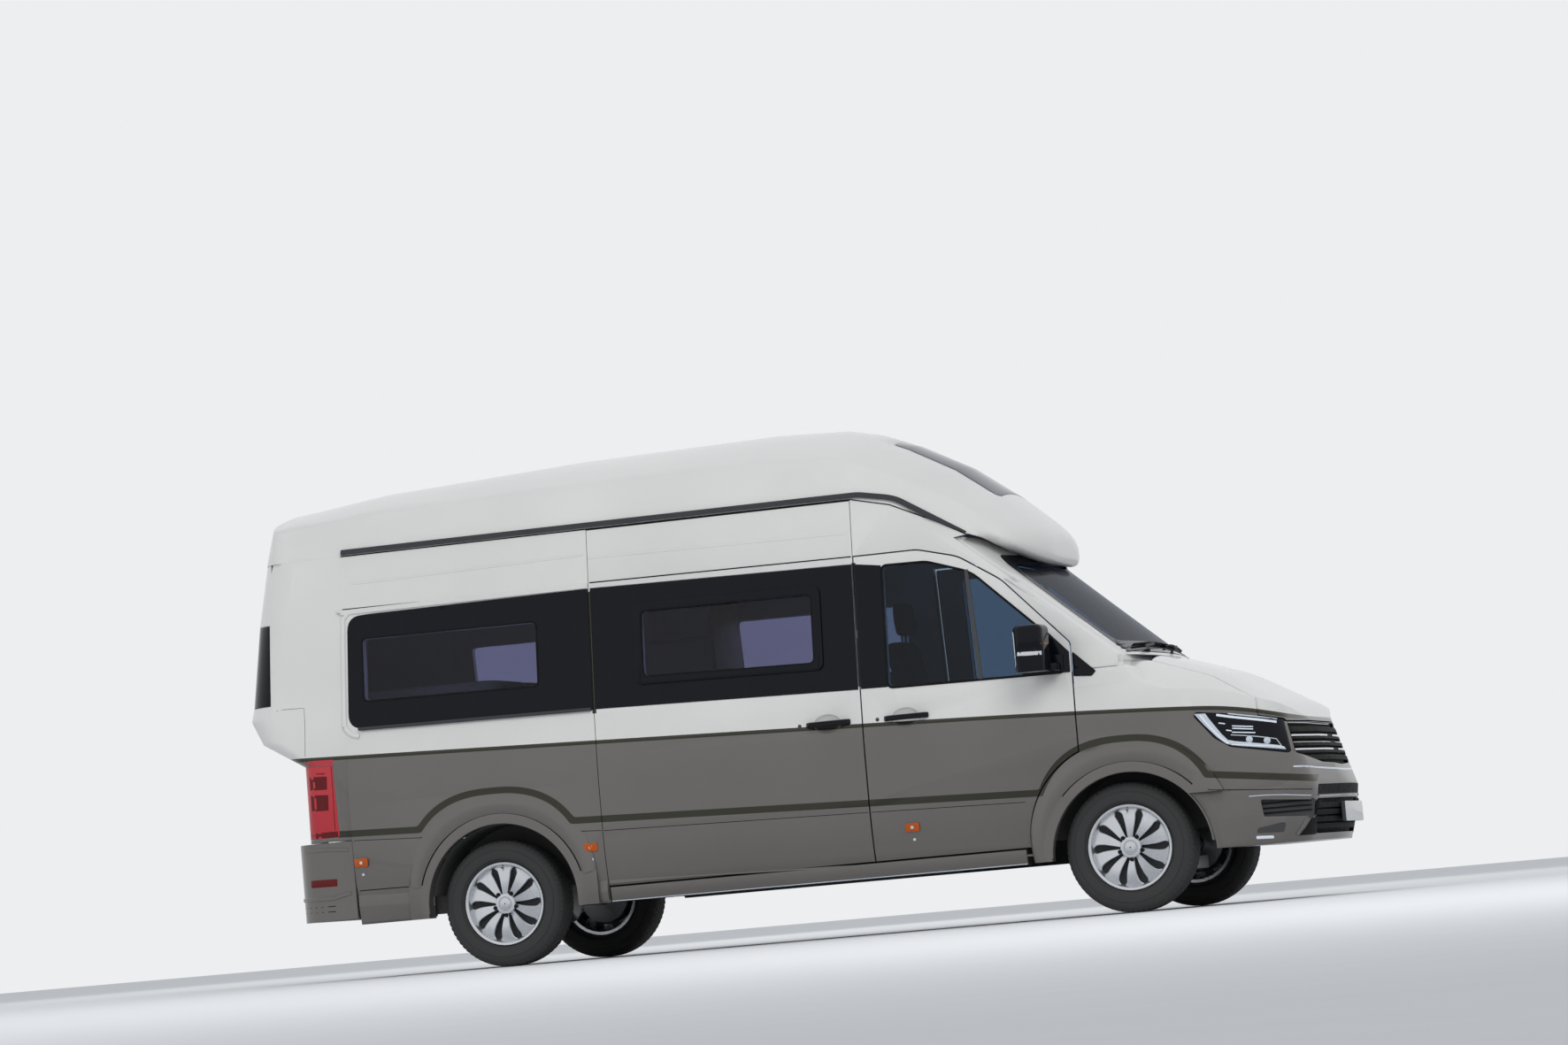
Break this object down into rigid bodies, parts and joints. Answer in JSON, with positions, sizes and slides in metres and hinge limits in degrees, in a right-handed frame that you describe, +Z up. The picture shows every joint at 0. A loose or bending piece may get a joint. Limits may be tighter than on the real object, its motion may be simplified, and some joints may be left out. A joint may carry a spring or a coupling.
{
  "type": "camper van",
  "caption": "High-roof camper van with moulded overcab roof and tail, side windows, hinged cab doors, bonnet and rear hatch, steered front wheels.",
  "frame": {"origin": "on the floor, under the middle of the van's length and width", "axes": "+X forward, +Y to the van's left, +Z up"},
  "size_m": [6.2423, 2.536, 2.9047],
  "materials": {
    "body_paint": "gloss off-white",
    "lower_paint": "metallic warm grey",
    "roof_finish": "smooth off-white moulding",
    "tinted_glass": "dark tinted",
    "clear_glass": "clear, lightly green",
    "red_lens": "clear-coated red lens",
    "lamp_lens": "silver behind a clear lens",
    "dark_gloss": "gloss black",
    "black_plastic": "grained black",
    "chassis_steel": "waxed steel",
    "floor_paint": "dark underseal",
    "engine_cast": "cast",
    "exhaust_steel": "heat-dulled steel",
    "seat_fabric": "woven grey",
    "cabin_plastic": "soft grained",
    "cabinet_wood": "light veneer",
    "rail_aluminium": "dark anodised",
    "wheel_alloy": "silver lacquer",
    "tyre_rubber": "matt rubber"
  },
  "bodies": {
    "body": {"side_panel_right": "body_paint", "side_panel_left": "body_paint", "sliding_door": "body_paint", "side_glass": "tinted_glass", "windscreen": "clear_glass", "cab_frame": "body_paint", "high_roof": "roof_finish", "rear_module": "roof_finish", "rear_window": "tinted_glass", "tail_lamps": "red_lens", "rear_bumper": "lower_paint", "front_wings": "lower_paint", "front_bumper": "lower_paint", "headlamps": "lamp_lens", "grille": "dark_gloss", "lower_grille": "black_plastic", "front_subframe": "chassis_steel", "rear_axle": "chassis_steel", "chassis_frame": "chassis_steel", "floor_pan": "floor_paint", "arch_liners": "black_plastic", "engine_block": "engine_cast", "fuel_tank": "black_plastic", "exhaust": "exhaust_steel", "cab_seats": "seat_fabric", "dashboard": "cabin_plastic", "furniture": "cabinet_wood", "body_rails": "rail_aluminium", "roof_window": "tinted_glass"},
    "bonnet": {"bonnet": "body_paint"},
    "door_left": {"cab_door_left": "body_paint", "cab_door_glass_left": "tinted_glass", "mirror_left": "dark_gloss"},
    "door_right": {"cab_door_right": "body_paint", "cab_door_glass_right": "tinted_glass", "mirror_right": "dark_gloss"},
    "hatch": {"rear_hatch": "roof_finish"},
    "steering_wheel": {"steering_wheel": "cabin_plastic"},
    "steered_left": {"knuckle_left": "chassis_steel"},
    "steered_right": {"knuckle_right": "chassis_steel"},
    "wheel_front_left": {"tyre_front_left": "tyre_rubber", "rim_front_left": "wheel_alloy"},
    "wheel_front_right": {"tyre_front_right": "tyre_rubber", "rim_front_right": "wheel_alloy"},
    "wheel_rear_left": {"tyre_rear_left": "tyre_rubber", "rim_rear_left": "wheel_alloy"},
    "wheel_rear_right": {"tyre_rear_right": "tyre_rubber", "rim_rear_right": "wheel_alloy"}
  },
  "joints": [
    {"name": "steer_left", "type": "hinge", "parent": "body", "child": "steered_left", "pos_m": [2.03, 0.7, 0.357], "axis": [0, 0, 1], "range_deg": [-32, 32]},
    {"name": "steer_right", "type": "hinge", "parent": "body", "child": "steered_right", "pos_m": [2.03, -0.7, 0.357], "axis": [0, 0, 1], "range_deg": [-32, 32]},
    {"name": "steering_column", "type": "hinge", "parent": "body", "child": "steering_wheel", "pos_m": [1.485, 0.43, 1.215], "axis": [-0.8829, 0, 0.4695], "range_deg": [-448, 448]},
    {"name": "spin_front_left", "type": "hinge", "parent": "steered_left", "child": "wheel_front_left", "pos_m": [2.03, 0.8325, 0.357], "axis": [0, 1, 0], "continuous": true},
    {"name": "spin_front_right", "type": "hinge", "parent": "steered_right", "child": "wheel_front_right", "pos_m": [2.03, -0.8325, 0.357], "axis": [0, 1, 0], "continuous": true},
    {"name": "spin_rear_left", "type": "hinge", "parent": "body", "child": "wheel_rear_left", "pos_m": [-1.61, 0.8325, 0.357], "axis": [0, 1, 0], "continuous": true},
    {"name": "spin_rear_right", "type": "hinge", "parent": "body", "child": "wheel_rear_right", "pos_m": [-1.61, -0.8325, 0.357], "axis": [0, 1, 0], "continuous": true},
    {"name": "open_door_left", "type": "hinge", "parent": "body", "child": "door_left", "pos_m": [1.811, 1.007, 1.2], "axis": [0, 0, -1], "range_deg": [0, 68]},
    {"name": "open_door_right", "type": "hinge", "parent": "body", "child": "door_right", "pos_m": [1.811, -1.007, 1.2], "axis": [0, 0, 1], "range_deg": [0, 68]},
    {"name": "open_bonnet", "type": "hinge", "parent": "body", "child": "bonnet", "pos_m": [2.198, 0, 1.412], "axis": [0, -1, 0], "range_deg": [0, 45]},
    {"name": "open_hatch", "type": "hinge", "parent": "body", "child": "hatch", "pos_m": [-3.122, 0, 1.57], "axis": [0, 1, 0], "range_deg": [0, 80]}
  ],
  "couplings": [
    {"joint": "steer_right", "follows": "steer_left", "ratio": 1},
    {"joint": "steering_column", "follows": "steer_left", "ratio": 14}
  ]
}
